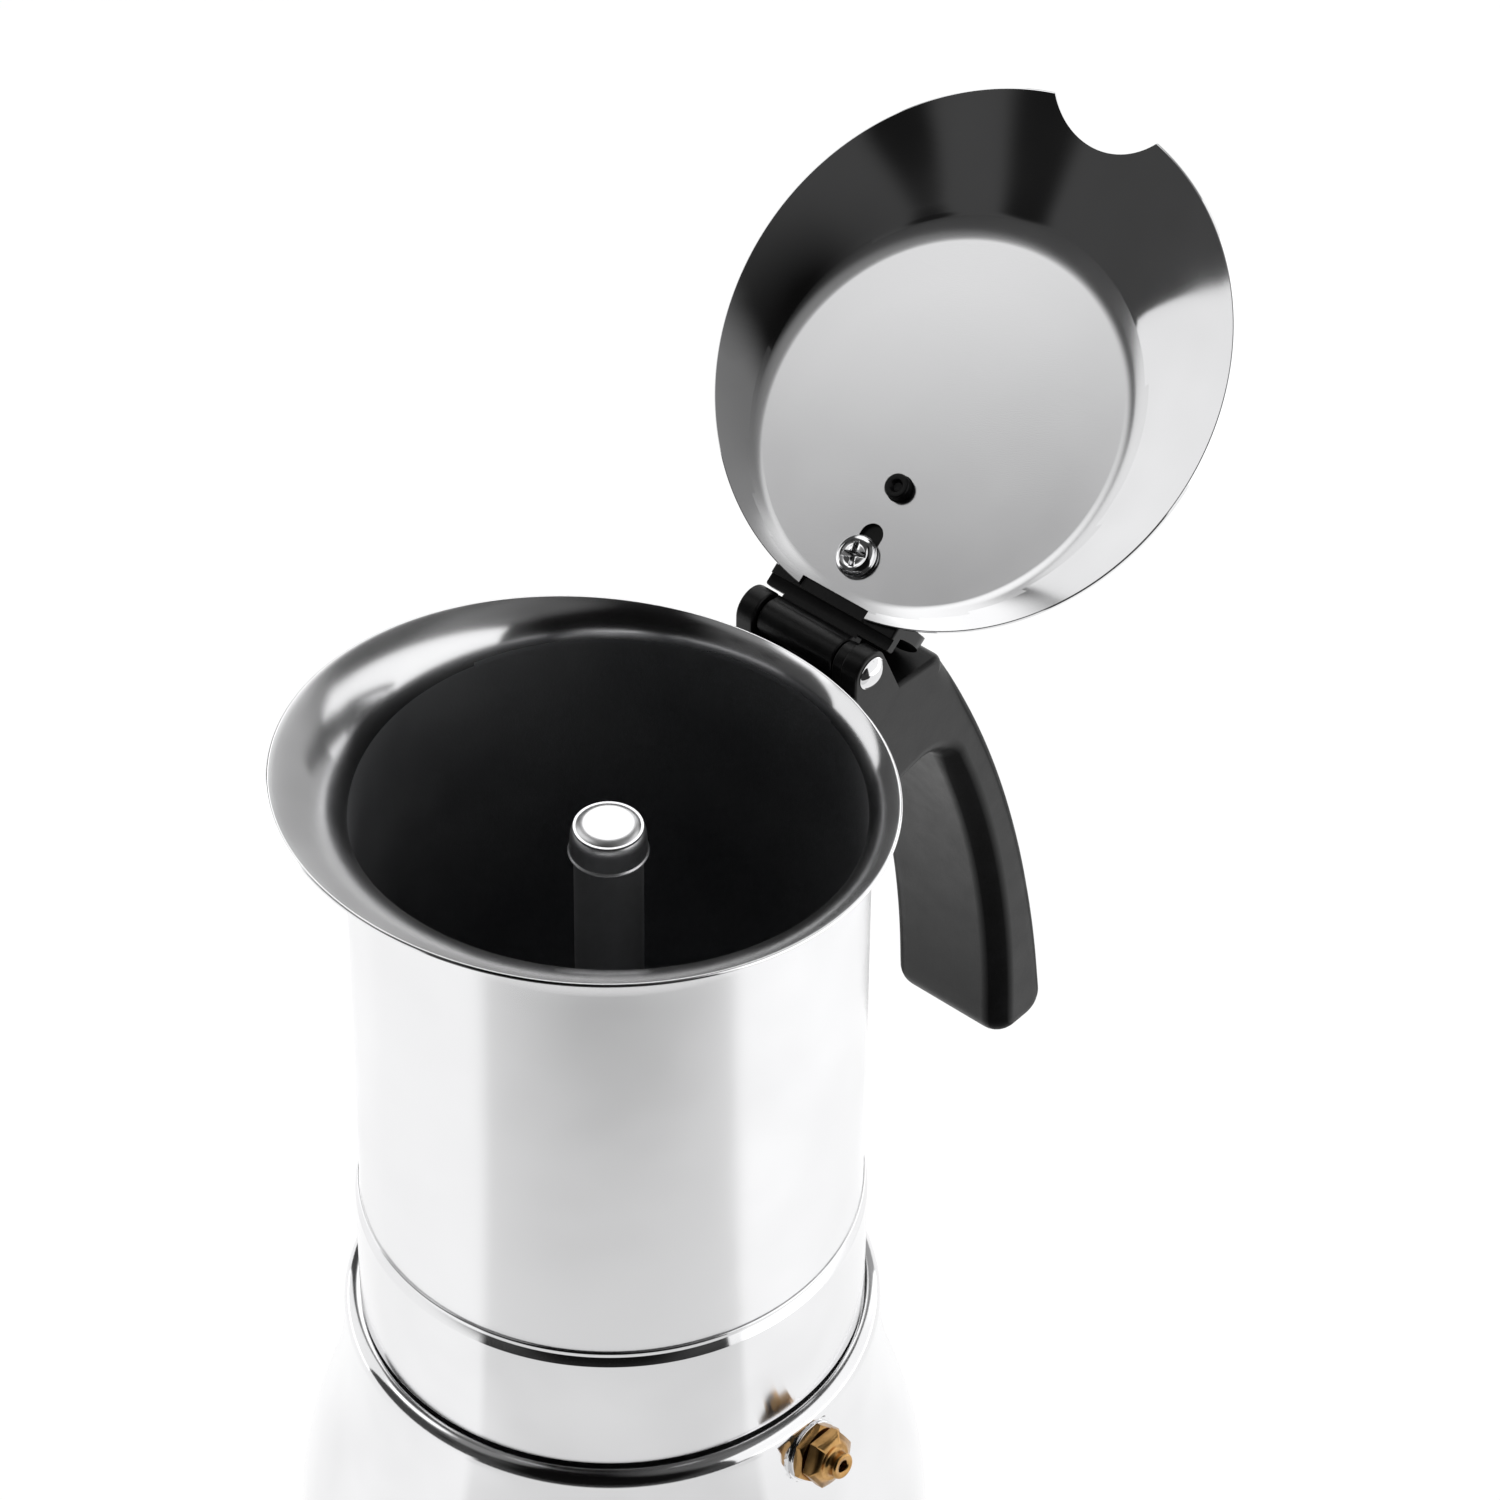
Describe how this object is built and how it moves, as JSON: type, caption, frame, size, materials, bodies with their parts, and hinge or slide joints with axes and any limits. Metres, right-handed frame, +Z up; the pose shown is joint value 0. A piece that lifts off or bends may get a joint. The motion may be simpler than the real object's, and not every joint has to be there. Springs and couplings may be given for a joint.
{
  "type": "moka pot",
  "caption": "Stainless steel moka pot with a bell-shaped boiler, a screw-on jug with a flared rim, a black handle and a hinged lid standing open.",
  "frame": {"origin": "centre of the boiler's foot, on the surface it stands on", "axes": "+Z up along the pot's axis, +X towards the handle, -X the pouring side"},
  "size_m": [0.1958, 0.12, 0.2713],
  "materials": {
    "steel_satin": "satin",
    "steel_polished": "polished",
    "steel_raw": "unpolished pressed or turned steel",
    "base_steel": "dull, ground flat",
    "bakelite": "matt, slightly mottled",
    "brass": "turned",
    "silicone": "matt, milky"
  },
  "bodies": {
    "boiler": {"boiler_shell": "steel_satin", "heat_base": "base_steel", "boiler_neck": "steel_raw", "valve_body": "brass", "valve_locknut": "brass", "valve_washer": "steel_polished", "valve_inner_seal": "silicone", "valve_inner_nut": "brass", "valve_seat": "brass", "valve_spring": "steel_raw"},
    "valve_ball": {"valve_ball": "steel_polished"},
    "funnel": {"funnel": "steel_raw", "funnel_disc": "steel_raw"},
    "seal": {"gasket": "silicone", "filter_plate": "steel_raw"},
    "jug": {"jug_body": "steel_satin", "jug_floor": "steel_raw", "jug_collar": "steel_satin", "collar_thread": "steel_raw", "column": "steel_raw", "column_cap": "steel_polished", "handle_bracket": "steel_raw", "handle": "bakelite", "handle_screw": "steel_polished", "hinge_pin": "steel_polished"},
    "lid": {"lid": "steel_polished", "lid_bracket": "bakelite", "lid_screw": "steel_polished", "lid_screw_insert": "brass"}
  },
  "joints": [
    {"name": "valve_lift", "type": "slide", "parent": "boiler", "child": "valve_ball", "axis": [-0.0345, -0.9871, 0.1564], "range_m": [0, 0.001], "stiffness_N_per_m": 500, "deforming": ["valve_spring"]},
    {"name": "top_lift", "type": "slide", "parent": "boiler", "child": "funnel", "axis": [0, 0, 1], "range_m": [0, 0.095]},
    {"name": "thread_rise", "type": "slide", "parent": "funnel", "child": "seal", "axis": [0, 0, 1], "range_m": [0, 0.00375]},
    {"name": "jug_turn", "type": "hinge", "parent": "seal", "child": "jug", "pos_m": [0, 0, 0.0978], "axis": [0, 0, 1], "range_deg": [0, 450]},
    {"name": "lid_hinge", "type": "hinge", "parent": "jug", "child": "lid", "pos_m": [0.0544, 0, 0.2003], "axis": [0, -1, 0], "range_deg": [0, 132]}
  ],
  "couplings": [
    {"joint": "thread_rise", "follows": "jug_turn", "m_per_rad": 0.00047746}
  ]
}
